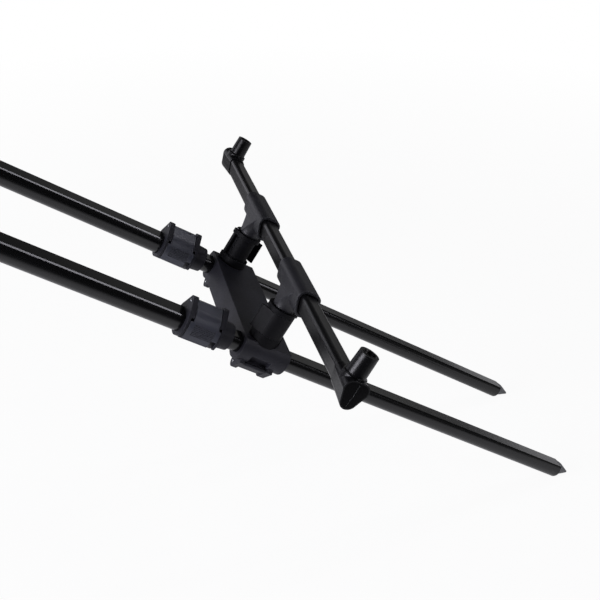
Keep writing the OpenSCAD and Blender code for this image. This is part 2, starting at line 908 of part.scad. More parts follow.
clamp_pins(bar_spacing);  // front_clamp_pins
clamp_on_stem(bar_spacing, -1);  // front_stem_clamp_left
clamp_on_stem(bar_spacing, 1);  // front_stem_clamp_right
block_lever(bar_spacing, -1);  // front_block_lever_left
block_lever(bar_spacing, 1);  // front_block_lever_right
stem_lever_on(bar_spacing, -1);  // front_stem_lever_left
stem_lever_on(bar_spacing, 1);  // front_stem_lever_right
buzz_bar_tube(bar_spacing);  // front_bar_tube
buzz_bar_tee(bar_spacing, -1);  // front_tee_left
buzz_bar_tee(bar_spacing, 1);  // front_tee_right
buzz_bar_cap(bar_spacing, -1);  // front_bar_cap_left
buzz_bar_cap(bar_spacing, 1);  // front_bar_cap_right
buzz_bar_inserts(bar_spacing);  // front_bar_inserts
leg_head(-1);  // leg_head_left
leg_head(1);  // leg_head_right
leg_outer_tube(-1);  // leg_outer_tube_left
leg_outer_tube(1);  // leg_outer_tube_right
leg_collar(-1);  // leg_collar_left
leg_collar(1);  // leg_collar_right
leg_pin(-1);  // leg_pin_left
leg_pin(1);  // leg_pin_right
leg_lever(-1);  // leg_lever_left
leg_lever(1);  // leg_lever_right
leg_inner_tube(-1);  // leg_inner_tube_left
leg_inner_tube(1);  // leg_inner_tube_right
leg_spike(-1);  // leg_spike_left
leg_spike(1);  // leg_spike_right
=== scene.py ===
"""Rod pod: finishes, small turned and moulded details, and a pale studio round the model."""

import math

import bmesh
import bpy
import numpy as np
from bpy.props import FloatProperty, FloatVectorProperty, IntProperty, PointerProperty
from mathutils import Matrix, Vector


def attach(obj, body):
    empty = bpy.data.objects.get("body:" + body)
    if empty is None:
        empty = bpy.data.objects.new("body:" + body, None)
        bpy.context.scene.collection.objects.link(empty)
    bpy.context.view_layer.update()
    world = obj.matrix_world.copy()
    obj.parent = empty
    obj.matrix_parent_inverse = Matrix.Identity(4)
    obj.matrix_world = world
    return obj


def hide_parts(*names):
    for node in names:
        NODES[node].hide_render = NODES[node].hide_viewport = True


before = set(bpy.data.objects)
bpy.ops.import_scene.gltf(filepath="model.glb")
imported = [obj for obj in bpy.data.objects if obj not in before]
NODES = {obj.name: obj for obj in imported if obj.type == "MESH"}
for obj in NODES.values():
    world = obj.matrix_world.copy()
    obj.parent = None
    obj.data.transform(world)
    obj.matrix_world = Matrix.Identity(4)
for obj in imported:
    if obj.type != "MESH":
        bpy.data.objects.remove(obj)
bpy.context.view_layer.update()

bl_info = {
    "name": "Rod pod",
    "version": (1, 0, 0),
    "blender": (4, 5, 0),
    "location": "3D View > Sidebar > Rod pod",
    "description": "Dresses the rod pod with finishes, threads, pin heads and a studio",
    "category": "Object",
}


# Where things are on the pod

# The pod is laid out in its pole frame: x across, y up the poles, z along the bar stems, in
# millimetres, zero on the pole axes under the rear bar. The poles slope by SLOPE, and ORIGIN is
# that zero point in the model's frame, in metres.
SLOPE = math.radians(32)
ORIGIN = np.array([0.0, -0.206529, 0.200458])
TURN = np.array(
    [
        [1, 0, 0],
        [0, math.cos(SLOPE), -math.sin(SLOPE)],
        [0, math.sin(SLOPE), math.cos(SLOPE)],
    ]
)
POLE_X = (-70.0, 70.0)
BAR_Y = {"rear": 0.0, "front": 600.0}
SIDES = {"left": -1, "right": 1}

# Legs: the pivot's place up the poles, its lean, the leg's turn about it, how far the leg's axis
# lies beside the pivot, and the leg's length from there to the tip of its spike
PIVOT_Y = 698.0
SPLAY = math.radians(12)
LEG_TURN = math.radians(72)
LEG_OFF = 31.5
LEG_REACH = 604.251

# Thin tubes and spikes: from the rear bar to the rear tips, the D section (radius, height of the
# flat as a share of it, width and slope of the faces beside the flat), and the cone
REAR_REACH = 377.0
TUBE_R = 9.5
FLAT_SHARE = 0.62
FLAT_EDGE = 1.0
EDGE_SLOPE = math.radians(26)
SPIKE_CONE = 17.5
SPIKE_TIP = 0.8
SPIKE_STUB = 22.0

# Bars: the section, the wall of the caps over it, the sockets, the inserts and the caps' ends
BAR_TOP = 72.0
BAR_WIDTH = 14.5
BAR_HEIGHT = 17.0
BAR_CORNER = 3.8
CAP_WALL = 3.0
SOCKET_X = 211.0
SOCKET_R = 4.15
SOCKET_DEPTH = 13.0
INSERT_R = 5.6
INSERT_LOW = 76.9
INSERT_TOP = 92.0
CAP_OVER = 12.5
CAP_END = SOCKET_X + CAP_OVER

# Pins: how far each lies from the axis that its lever grips, and the ears that it stands out of
PIN_R = 1.25
STEM_PIN_R = 1.0
PIN_PROUD = 0.3
COLLAR_PIN_OFF = 17.8
COLLAR_MOUTH = 72.6
LEG_COLLAR_MOUTH = 320.0
COLLAR_BARREL = 32.6
BLOCK_PIN_OFF = 18.5
BLOCK_EARS = (12.5, -19.0)
STEM_PIN_OFF = 12.7
STEM_CLAMP_TOP = 43.0

# Pivot bolts, along their own axis from the pole's: tail, underside of the head and top
BOLT_R = 3.0
BOLT_HEAD_R = 6.0
BOLT_TAIL = -13.6
BOLT_UNDER = 28.1
BOLT_TOP = 32.6


def to_world(points):
    """Pole frame to model frame: turn about X by the slope, scale to metres, shift to ORIGIN."""
    return points @ TURN.T / 1000 + ORIGIN


def leg_axes(side):
    """The leg's own x, y and z directions and its pivot, in the pole frame.

    The leg frame is the pole frame turned about X by a right angle plus the leg's turn, then
    leaned out about Y by the splay; the left leg is the right one mirrored in x.
    """
    a = math.pi / 2 + LEG_TURN
    c, s = math.cos(a), math.sin(a)
    tip = np.array([[1, 0, 0], [0, c, -s], [0, s, c]])
    c, s = math.cos(-SPLAY), math.sin(-SPLAY)
    lean = np.array([[c, 0, s], [0, 1, 0], [-s, 0, c]])
    flip = np.diag([side, 1, 1])
    return flip @ lean @ tip, flip @ np.array([POLE_X[1], PIVOT_Y, 0.0])


# Settings

def linear(code):
    """An sRGB hex code as linear red, green and blue."""
    c = np.array([int(code[i:i + 2], 16) for i in (1, 3, 5)]) / 255
    return tuple(np.where(c <= 0.04045, c / 12.92, ((c + 0.055) / 1.055) ** 2.4).tolist())


def colour(name, code, text):
    """A colour setting with a hex default."""
    return FloatVectorProperty(
        name=name, description=text, subtype="COLOR", size=3, min=0, max=1, default=linear(code)
    )


def millimetres(name, value, text, top=50.0):
    """A length setting in millimetres, plain because Blender's length unit means metres."""
    return FloatProperty(
        name=name, description=f"{text}, in millimetres", default=value, min=0.0, max=top
    )


class RodPodSizes(bpy.types.PropertyGroup):
    """Sizes of the details, in millimetres."""

    thread_pitch: millimetres("Thread pitch", 1.27, "Rise of the socket thread in one turn")
    thread_depth: millimetres("Thread depth", 0.5, "Depth of the socket thread")
    pin_crown: millimetres("Pin crown", 0.45, "Height of the domed ends of the pins")
    face_crown: millimetres("Face crown", 0.5, "Swell of the end faces of the bar caps")
    face_inset: millimetres("Face inset", 1.1, "Rim left round the end faces of the bar caps")
    seam_width: millimetres("Seam width", 0.5, "Width of the mould seam on the end faces")
    seam_height: millimetres("Seam height", 0.18, "Height of the mould seam on the end faces")
    bolt_flats: millimetres("Bolt flats", 4.0, "Width across the flats of the bolt sockets")
    spike_ring: millimetres("Spike ring", 0.12, "Depth of the turning rings on the spikes")
    edge_round: millimetres("Edge round", 0.6, "Rounding that moulded edges show", 2.0)
    tee_round: millimetres("Tee round", 1.6, "Rounding that the edges of the tees show", 3.0)


class RodPodColours(bpy.types.PropertyGroup):
    """Colours of the finishes."""

    tube: colour("Tubes", "#070708", "Black anodised tubes")
    spike: colour("Spikes", "#5a5b5e", "Turned spikes")
    block: colour("Blocks", "#222228", "Moulded blocks, collars and heads")
    clamp: colour("Clamps", "#0b0b0e", "Moulded stem clamps and their levers")
    lever: colour("Collar levers", "#383a44", "Moulded cam levers of the collars")
    cam: colour("Block levers", "#1d1d23", "Moulded cam levers of the blocks")
    tee: colour("Tees", "#1b1b20", "Moulded tees")
    cap: colour("Caps", "#08080a", "Moulded bar caps")
    steel: colour("Pins", "#b9bbbe", "Plated steel pins, bolts and nuts")
    insert: colour("Inserts", "#1a1918", "Blackened socket inserts")


class RodPodStage(bpy.types.PropertyGroup):
    """Camera and light."""

    lens: FloatProperty(
        name="Lens", description="Focal length on a 36 mm sensor", default=54.162, min=10, max=300,
        unit="CAMERA",
    )
    camera_at: FloatVectorProperty(
        name="Camera", description="Place of the camera", subtype="TRANSLATION", size=3,
        default=(-0.68929, -0.08079, 0.61323),
    )
    camera_aim: FloatVectorProperty(
        name="Aim", description="Direction that the camera looks in", subtype="DIRECTION", size=3,
        default=(0.83677, -0.21946, -0.50165),
    )
    camera_roll: FloatProperty(
        name="Roll", description="Roll of the camera about its own axis", subtype="ANGLE",
        default=math.radians(0.57),
    )
    rear: FloatProperty(
        name="Rear", description="Power of each rear strip", default=1.8, min=0, unit="POWER"
    )
    front: FloatProperty(
        name="Front", description="Power of the front softbox", default=25.0, min=0, unit="POWER"
    )
    left: FloatProperty(
        name="Left", description="Power of the left softbox", default=2.0, min=0, unit="POWER"
    )
    card: FloatProperty(
        name="Card", description="Power of the front card", default=3.2, min=0, unit="POWER"
    )
    top: FloatProperty(
        name="Top", description="Power of the overhead softbox", default=2.0, min=0, unit="POWER"
    )
    room: FloatProperty(
        name="Room", description="Brightness of the room around the pod", default=0.08, min=0
    )
    floor: FloatProperty(
        name="Floor", description="Width of the floor", default=8.0, min=1, unit="LENGTH"
    )


class RodPodSettings(bpy.types.PropertyGroup):
    """All settings of the rod pod."""

    sizes: PointerProperty(type=RodPodSizes)
    colours: PointerProperty(type=RodPodColours)
    stage: PointerProperty(type=RodPodStage)
    around: IntProperty(
        name="Points round", description="Points round a threaded insert", default=64, min=12,
        max=256,
    )


# Mesh making

# Points nearer than MERGE, in metres, become one, and edges over SHARP keep a hard line
MERGE = 1e-7
SHARP = math.radians(35)


def grid_faces(rows, columns, offset):
    """Quads between the rows of a grid, whose last column joins its first."""
    i = np.arange(rows - 1)[:, None] * columns
    j = np.arange(columns)[None, :]
    k = (j + 1) % columns
    quads = np.stack([i + j, i + k, i + columns + k, i + columns + j], -1)
    return quads.reshape(-1, 4) + offset


def add_piece(name, grids, body, material, replaces=()):
    """One mesh from several point grids (rows, columns, 3) in the pole frame; it rides on a body.

    Each grid is a surface of two parameters whose first and last rows close on a point. Points
    that meet are merged, faces are turned outwards, and edges over SHARP stay sharp.
    """
    points, faces, at = [], [], 0
    for g in grids:
        faces.append(grid_faces(g.shape[0], g.shape[1], at))
        points.append(to_world(g.reshape(-1, 3)))
        at += g.shape[0] * g.shape[1]
    mesh = bpy.data.meshes.new(name)
    mesh.from_pydata(np.concatenate(points), [], np.concatenate(faces))
    shell = bmesh.new()
    shell.from_mesh(mesh)
    bmesh.ops.remove_doubles(shell, verts=shell.verts, dist=MERGE)
    bmesh.ops.recalc_face_normals(shell, faces=shell.faces)
    shell.to_mesh(mesh)
    shell.free()
    mesh.polygons.foreach_set("use_smooth", np.ones(len(mesh.polygons), bool))
    mesh.set_sharp_from_angle(angle=SHARP)
    mesh.materials.append(material)
    piece = bpy.data.objects.new(name, mesh)
    bpy.context.scene.collection.objects.link(piece)
    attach(piece, body)
    if replaces:
        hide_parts(*replaces)


def lathe(profile, radius_at, centre, axes, around):
    """A turned surface: each profile row (height, radius) becomes a ring of points.

    radius_at(heights, radii, angles) may vary the radius with the angle. axes holds the ring's two
    directions and the turning axis as columns.
    """
    t = np.linspace(0, 2 * np.pi, around, endpoint=False)
    h, r = np.asarray(profile, float).T
    rho = radius_at(h[:, None], r[:, None], t[None, :])
    height = np.broadcast_to(h[:, None], rho.shape)
    local = np.stack([rho * np.cos(t), rho * np.sin(t), height], -1)
    return local @ np.asarray(axes, float).T + centre


def plain(h, r, t):
    """Round rings: the profile's own radius at every angle."""
    return np.broadcast_to(r, (r.shape[0], t.shape[1]))


# Materials

# Sizes of the patterns, in millimetres: grit that breaks up worn edges and painted edge shade, die
# lines across and along an extruded tube, clouds in the dye, and the flow of the melt in a moulding
EDGE_GRIT = 2.0
DIE_LINE = 1.5
DIE_LINE_RUN = 150.0
DYE_CLOUD = 60.0
MELT_FLOW = 35.0

# Nearly all values of a noise lie in this range
NOISE = {"From Min": 0.3, "From Max": 0.7}


def add_node(tree, kind, sockets=None, **settings):
    """Adds one node, sets its properties, and gives its sockets values or other sockets."""
    node = tree.nodes.new(kind)
    for key, value in settings.items():
        setattr(node, key, value)
    for key, value in (sockets or {}).items():
        if isinstance(value, bpy.types.NodeSocket):
            tree.links.new(value, node.inputs[key])
        else:
            node.inputs[key].default_value = value
    return node


def start_material(name, **shader):
    """A new material with one principled shader whose constant sockets are set here."""
    material = bpy.data.materials.new(name)
    material.use_nodes = True
    tree = material.node_tree
    tree.nodes.clear()
    bsdf = add_node(tree, "ShaderNodeBsdfPrincipled", shader)
    add_node(tree, "ShaderNodeOutputMaterial", {"Surface": bsdf.outputs["BSDF"]})
    return material, tree, bsdf


def join_shader(tree, bsdf, skin, gloss, normal):
    """Links a colour, a roughness and a normal to a material's shader."""
    tree.links.new(skin, bsdf.inputs["Base Color"])
    tree.links.new(gloss, bsdf.inputs["Roughness"])
    tree.links.new(normal, bsdf.inputs["Normal"])


def tint(base, times):
    """A colour made paler or darker."""
    return tuple(min(1.0, times * c) for c in base)


def two_tones(tree, factor, dark, light, low=0.35, high=0.65):
    """A ramp from a dark to a light tone over the factor's range."""
    ramp = add_node(tree, "ShaderNodeValToRGB", {"Fac": factor})
    ramp.color_ramp.elements[0].position = low
    ramp.color_ramp.elements[0].color = (*dark, 1)
    ramp.color_ramp.elements[1].position = high
    ramp.color_ramp.elements[1].color = (*light, 1)
    return ramp.outputs["Color"]


def worn_edges(tree, base, round_mm, tone, amount):
    """Rounded edges, and a tone on them: paler where worn, or darker as painted shade along them.

    The bevel normal leaves the face normal only near an edge, so one minus their dot product
    marks the edge; grit breaks the mark up. Gives the colour and the rounded normal.
    """
    bevel = add_node(tree, "ShaderNodeBevel", {"Radius": round_mm / 1000}, samples=4)
    face = add_node(tree, "ShaderNodeNewGeometry")
    same = add_node(
        tree, "ShaderNodeVectorMath", {0: bevel.outputs["Normal"], 1: face.outputs["Normal"]},
        operation="DOT_PRODUCT",
    )
    place = add_node(tree, "ShaderNodeTexCoord")
    grit = add_node(
        tree, "ShaderNodeTexNoise",
        {"Vector": place.outputs["Object"], "Scale": 1000 / EDGE_GRIT, "Detail": 3.0},
    )
    edge = add_node(
        tree, "ShaderNodeMapRange",
        {
            "Value": same.outputs["Value"], "From Min": 0.995, "From Max": 0.85,
            "To Min": 0.0, "To Max": amount,
        },
    )
    mark = add_node(
        tree, "ShaderNodeMath", {0: edge.outputs["Result"], 1: grit.outputs["Fac"]},
        operation="MULTIPLY",
    )
    # A dark tone here is painted shade along the edges; a pale tone shows worn edges
    mix = add_node(
        tree, "ShaderNodeMix", {0: mark.outputs["Value"], 6: base, 7: (*tone, 1)},
        data_type="RGBA",
    )
    return mix.outputs[2], bevel.outputs["Normal"]


def anodised_tube(name, base, axis, rough, round_mm):
    """Black anodised aluminium, extruded.

    Dye under a clear oxide gives a deep black with a hard, slightly streaked gloss: long die lines
    run down the tube and soften the reflections across it. Real die lines are about 0.3 mm apart;
    they are drawn at DIE_LINE here, because finer ones would not show.
    """
    material, tree, bsdf = start_material(name, **{"IOR": 1.5, "Specular IOR Level": 0.5})
    turn = Vector(axis).rotation_difference(Vector((0, 0, 1))).to_euler()
    place = add_node(tree, "ShaderNodeTexCoord")
    along = add_node(
        tree, "ShaderNodeMapping", {"Vector": place.outputs["Object"], "Rotation": turn}
    )
    across = 1000 / DIE_LINE
    drawn = add_node(
        tree, "ShaderNodeMapping",
        {"Vector": along.outputs["Vector"], "Scale": (across, across, 1000 / DIE_LINE_RUN)},
    )
    lines = add_node(
        tree, "ShaderNodeTexNoise",
        {"Vector": drawn.outputs["Vector"], "Scale": 1.0, "Detail": 2.0},
    )
    cloud = add_node(
        tree, "ShaderNodeTexNoise",
        {"Vector": along.outputs["Vector"], "Scale": 1000 / DYE_CLOUD, "Detail": 3.0},
    )
    tone = two_tones(tree, cloud.outputs["Fac"], base, tint(base, 1.5))
    skin, normal = worn_edges(tree, tone, round_mm, linear("#3a3a3c"), 0.25)
    gloss = add_node(
        tree, "ShaderNodeMapRange",
        {
            "Value": lines.outputs["Fac"], **NOISE,
            "To Min": rough - 0.02, "To Max": rough + 0.02,
        },
    )
    bump = add_node(
        tree, "ShaderNodeBump",
        {"Height": lines.outputs["Fac"], "Strength": 0.003, "Distance": 0.0002, "Normal": normal},
    )
    join_shader(tree, bsdf, skin, gloss.outputs["Result"], bump.outputs["Normal"])
    return material


def moulded(
    name, base, rough, grain_mm, grain, round_mm, level=0.5, edge="#5c5e63", wear_and_shade=0.5
):
    """Glass-filled nylon or acetal, moulded in a spark-textured tool.

    A fine, even grain breaks the gloss into a soft satin, flow of the melt gives broad faint
    clouds, and the edges take a tone of their own: paler where worn, or dark as painted shade
    along them. Spark grain is about 0.2 mm; it is drawn coarser, as grain_mm says, so that it
    shows. level is the shader's specular level.
    """
    material, tree, bsdf = start_material(name, **{"IOR": 1.5, "Specular IOR Level": level})
    place = add_node(tree, "ShaderNodeTexCoord")
    spark = add_node(
        tree, "ShaderNodeTexNoise",
        {
            "Vector": place.outputs["Object"], "Scale": 1000 / grain_mm,
            "Detail": 4.0, "Roughness": 0.6,
        },
    )
    flow = add_node(
        tree, "ShaderNodeTexNoise",
        {"Vector": place.outputs["Object"], "Scale": 1000 / MELT_FLOW, "Detail": 2.0},
    )
    tone = two_tones(tree, flow.outputs["Fac"], tint(base, 0.8), tint(base, 1.2))
    skin, normal = worn_edges(tree, tone, round_mm, linear(edge), wear_and_shade)
    gloss = add_node(
        tree, "ShaderNodeMapRange",
        {
            "Value": spark.outputs["Fac"], **NOISE,
            "To Min": rough - 0.06, "To Max": rough + 0.08,
        },
    )
    bump = add_node(
        tree, "ShaderNodeBump",
        {"Height": spark.outputs["Fac"], "Strength": grain, "Distance": 0.0001, "Normal": normal},
    )
    join_shader(tree, bsdf, skin, gloss.outputs["Result"], bump.outputs["Normal"])
    return material


def turned_metal(name, base, rough, metallic, ring_mm, round_mm):
    """Metal turned on a lathe: fine tool marks spread the highlight and soften the tone."""
    material, tree, bsdf = start_material(name, **{"Metallic": metallic})
    place = add_node(tree, "ShaderNodeTexCoord")
    marks = add_node(
        tree, "ShaderNodeTexNoise",
        {"Vector": place.outputs["Object"], "Scale": 1000 / ring_mm, "Detail": 2.0},
    )
    tone = two_tones(tree, marks.outputs["Fac"], tint(base, 0.75), base)
    skin, normal = worn_edges(tree, tone, round_mm, tint(base, 1.4), 0.4)
    gloss = add_node(
        tree, "ShaderNodeMapRange",
        {"Value": marks.outputs["Fac"], "To Min": rough - 0.08, "To Max": rough + 0.1},
    )
    join_shader(tree, bsdf, skin, gloss.outputs["Result"], normal)
    return material


def camera_view(tree):
    """The light path, and a mark that is one where the camera looks, straight or through glass."""
    path = add_node(tree, "ShaderNodeLightPath")
    seen = add_node(
        tree, "ShaderNodeMath",
        {0: path.outputs["Is Camera Ray"], 1: path.outputs["Is Transmission Ray"]},
        operation="MAXIMUM",
    )
    return path, seen.outputs["Value"]


def coat(names, material):
    """Gives CAD nodes a finish."""
    for name in names:
        mesh = NODES[name].data
        if mesh.materials:
            NODES[name].material_slots[0].material = material
        else:
            mesh.materials.append(material)


def both(pattern, *groups):
    """Node names from a pattern with the given group words and left and right."""
    return [pattern.format(group, side) for group in groups for side in SIDES]


# Operators

class RODPOD_OT_tubes(bpy.types.Operator):
    """Black anodised finish on the pole, bar and leg tubes"""

    bl_idname = "rodpod.tubes"
    bl_label = "Tubes"

    def execute(self, context):
        s = context.scene.rod_pod
        look = {"base": s.colours.tube, "round_mm": s.sizes.edge_round}
        up = TURN @ np.array([0.0, 1.0, 0.0])
        poles = anodised_tube("black_anodised_aluminium_poles", axis=up, rough=0.18, **look)
        bars = anodised_tube(
            "black_anodised_aluminium_bars", axis=(1.0, 0.0, 0.0), rough=0.32, **look
        )
        coat(both("{}_{}", "pole_tube", "pole_inner_tube"), poles)
        coat([f"{b}_bar_tube" for b in BAR_Y], bars)
        for side, sign in SIDES.items():
            axes, _ = leg_axes(sign)
            leg = anodised_tube(
                f"black_anodised_aluminium_leg_{side}", axis=TURN @ axes[:, 2], rough=0.18, **look
            )
            coat([f"leg_outer_tube_{side}", f"leg_inner_tube_{side}"], leg)
        return {"FINISHED"}


class RODPOD_OT_blocks(bpy.types.Operator):
    """Spark-textured finish on the blocks, clamps, collars and heads"""

    bl_idname = "rodpod.blocks"
    bl_label = "Blocks, clamps and collars"

    def execute(self, context):
        s = context.scene.rod_pod
        texture = {"grain_mm": 1.2, "grain": 0.12, "round_mm": s.sizes.edge_round}
        shells = moulded(
            "glass_filled_nylon_spark_textured", s.colours.block, rough=0.5, level=0.25, **texture
        )
        clamps = moulded(
            "glass_filled_nylon_stem_clamps", s.colours.clamp, rough=0.6, level=0.12, **texture
        )
        coat([f"{b}_block" for b in BAR_Y], shells)
        coat(both("{}_{}", "pole_collar", "leg_collar", "pole_head", "leg_head"), shells)
        coat(both("{}_stem_clamp_{}", *BAR_Y), clamps)
        return {"FINISHED"}


class RODPOD_OT_levers(bpy.types.Operator):
    """Finer, bluish charcoal finish on the cam levers"""

    bl_idname = "rodpod.levers"
    bl_label = "Cam levers"

    def execute(self, context):
        s = context.scene.rod_pod
        texture = {"grain_mm": 0.9, "grain": 0.06, "round_mm": s.sizes.edge_round}
        # The collar levers' edges are painted dark: painted shade along the thin gaps round them,
        # so that the gaps read
        collars = moulded(
            "acetal_collar_levers_fine_textured", s.colours.lever, rough=0.42,
            grain_mm=0.9, grain=0.02, round_mm=0.5, edge="#060607", wear_and_shade=2.0,
        )
        blocks = moulded(
            "acetal_block_levers_fine_textured", s.colours.cam, rough=0.55, level=0.25, **texture
        )
        stems = moulded(
            "acetal_stem_levers_fine_textured", s.colours.clamp, rough=0.55, level=0.16, **texture
        )
        coat(both("{}_{}", "pole_collar_lever", "leg_lever"), collars)
        coat(both("{}_block_lever_{}", *BAR_Y), blocks)
        coat(both("{}_stem_lever_{}", *BAR_Y), stems)
        return {"FINISHED"}


def rounded_triangle(inset, count):
    """The cap's end outline drawn in by inset, as count points of y and z in the pole frame.

    Three corner circles are joined by straight sides; the outline is walked by arc length, so the
    points are evenly spaced.
    """
    r = BAR_CORNER + CAP_WALL - inset
    wide, high = BAR_WIDTH / 2 - BAR_CORNER, BAR_TOP - BAR_CORNER
    corners = np.array([[wide, high], [-wide, high], [0.0, BAR_TOP - BAR_HEIGHT + BAR_CORNER]])
    ahead = np.roll(corners, -1, 0) - corners
    out = np.stack([ahead[:, 1], -ahead[:, 0]], -1) / np.linalg.norm(ahead, axis=1)[:, None]
    start = np.arctan2(*np.roll(out, 1, 0).T[::-1])
    sweep = (np.arctan2(*out.T[::-1]) - start) % (2 * np.pi)
    t = np.linspace(0, 1, 24)[None, :]
    angle = start[:, None] + sweep[:, None] * t
    walk = (corners[:, None] + r * np.stack([np.cos(angle), np.sin(angle)], -1)).reshape(-1, 2)
    loop = np.vstack([walk, walk[:1]])
    run = np.concatenate([[0], np.cumsum(np.linalg.norm(np.diff(loop, axis=0), axis=1))])
    at = np.linspace(0, run[-1], count, endpoint=False)
    return np.stack([np.interp(at, run, loop[:, 0]), np.interp(at, run, loop[:, 1])], -1)


class RODPOD_OT_caps(bpy.types.Operator):
    """Semi-gloss tees and bar caps, with swelled end faces and a mould seam"""

    bl_idname = "rodpod.caps"
    bl_label = "Tees and bar caps"

    def execute(self, context):
        s = context.scene.rod_pod
        z = s.sizes
        gloss = moulded(
            "nylon_caps_semi_gloss", s.colours.cap,
            rough=0.32, grain_mm=0.9, grain=0.03, round_mm=z.edge_round, level=0.25,
        )
        # The end faces are rougher and duller, and take half the caps' colour: that darker colour
        # is painted shade
        matt_shaded = moulded(
            "nylon_cap_faces_etched_shaded", tint(s.colours.cap, 0.5),
            rough=0.6, grain_mm=1.0, grain=0.1, round_mm=0.1, level=0.1,
        )
        satin = moulded(
            "glass_filled_nylon_tees", s.colours.tee,
            rough=0.46, grain_mm=1.2, grain=0.1, round_mm=z.tee_round,
        )
        coat(both("{}_bar_cap_{}", *BAR_Y), gloss)
        coat(both("{}_tee_{}", *BAR_Y), satin)
        for bar, y in BAR_Y.items():
            for side, sign in SIDES.items():
                face, ridge = self.face(z, y, sign)
                add_piece(f"{bar}_cap_face_{side}", [face], f"{bar}_bar", matt_shaded)
                add_piece(f"{bar}_cap_seam_{side}", [ridge], f"{bar}_bar", gloss)
        return {"FINISHED"}

    @staticmethod
    def face(z, y, sign):
        """End face and seam of one cap.

        The face is a fan of rings drawn in from the outline to its middle; its height is the crown
        times one minus the square of the ring's share, and its back lies inside the cap. The seam
        is a round ridge along the middle, from the top of the face to its lowest corner.
        """
        middle, lift, sunk, short = 65.0, 0.05, 0.3, 0.4
        rim = rounded_triangle(z.face_inset, 96)
        heart = np.array([0.0, middle])
        share = np.concatenate([[0.0, 1.0], np.linspace(1.0, 0.0, 14)])
        rise = z.face_crown * (1 - share**2) + lift
        rise[:2] = -sunk
        yz = heart + share[:, None, None] * (rim - heart)
        x = np.broadcast_to(CAP_END + rise[:, None], yz.shape[:2])
        face = np.stack([sign * x, y + yz[..., 0], yz[..., 1]], -1)

        along = np.linspace(0, 1, 24)[:, None]
        a = np.linspace(0, 2 * np.pi, 12, endpoint=False)[None, :]
        low, high = rim[:, 1].min() + short, rim[:, 1].max() - short
        up = low + (high - low) * along
        above = (up - middle) / (high + short - middle)
        below = (middle - up) / (middle - low + short)
        reach = np.where(up > middle, above, below)
        height = CAP_END + lift + z.face_crown * (1 - reach**2)
        fade = np.sqrt(np.clip(1 - (2 * along - 1) ** 6, 0, 1))
        ridge = np.stack(
            np.broadcast_arrays(
                sign * (height + z.seam_height * fade * np.cos(a)),
                y + z.seam_width / 2 * fade * np.sin(a) * sign,
                up,
            ),
            -1,
        )
        return face, ridge


class RODPOD_OT_inserts(bpy.types.Operator):
    """Threaded inserts in the socket pillars"""

    bl_idname = "rodpod.inserts"
    bl_label = "Threaded inserts"

    def execute(self, context):
        s = context.scene.rod_pod
        material = turned_metal(
            "blackened_brass_inserts", s.colours.insert,
            rough=0.35, metallic=0.6, ring_mm=0.8, round_mm=0.15,
        )
        for bar, y in BAR_Y.items():
            grids = [self.insert(s, sign * SOCKET_X, y) for sign in SIDES.values()]
            add_piece(
                f"{bar}_threaded_inserts", grids, f"{bar}_bar", material,
                replaces=(f"{bar}_bar_inserts",),
            )
        return {"FINISHED"}

    @staticmethod
    def insert(s, x, y):
        """One insert: outer wall, rim with a lead-in, threaded bore, floor.

        In the bore the radius is the core radius plus the thread depth times a triangle wave of
        height over pitch minus turn, so the groove climbs one pitch a turn; it fades out at both
        ends.
        """
        low, top, wall, core = INSERT_LOW, INSERT_TOP, INSERT_R, SOCKET_R
        floor = top - SOCKET_DEPTH
        bevel, lead_in, run_in, blind, run_out = 0.3, 0.4, 0.5, 1.0, 1.5
        pitch, depth = s.sizes.thread_pitch, s.sizes.thread_depth
        bore = np.linspace(top - lead_in - run_in, floor + bevel, 110)
        outer = [
            (low, 0.0), (low, wall - bevel), (low + bevel, wall),
            (top - bevel, wall), (top, wall - bevel),
        ]
        flare, throat = core + depth + 0.25, core + depth - 0.1
        lead = [(top, flare), (top - lead_in, throat)]
        shut = [(floor, core), (floor, 0.0)]
        profile = np.array(outer + lead + [(h, core) for h in bore] + shut)
        row = np.arange(len(profile))[:, None] - len(outer + lead)
        bored = (row >= 0) & (row < len(bore))

        def thread(h, r, t):
            wave = np.abs(((h / pitch - t / (2 * np.pi)) % 1.0) * 2 - 1)
            start = np.clip((top - lead_in - h) / run_in, 0, 1)
            fade = np.clip((h - floor - blind) / run_out, 0, 1) * start
            return r + np.where(bored, depth * wave * fade, 0.0)

        return lathe(profile, thread, np.array([x, y, 0.0]), np.eye(3), s.around)


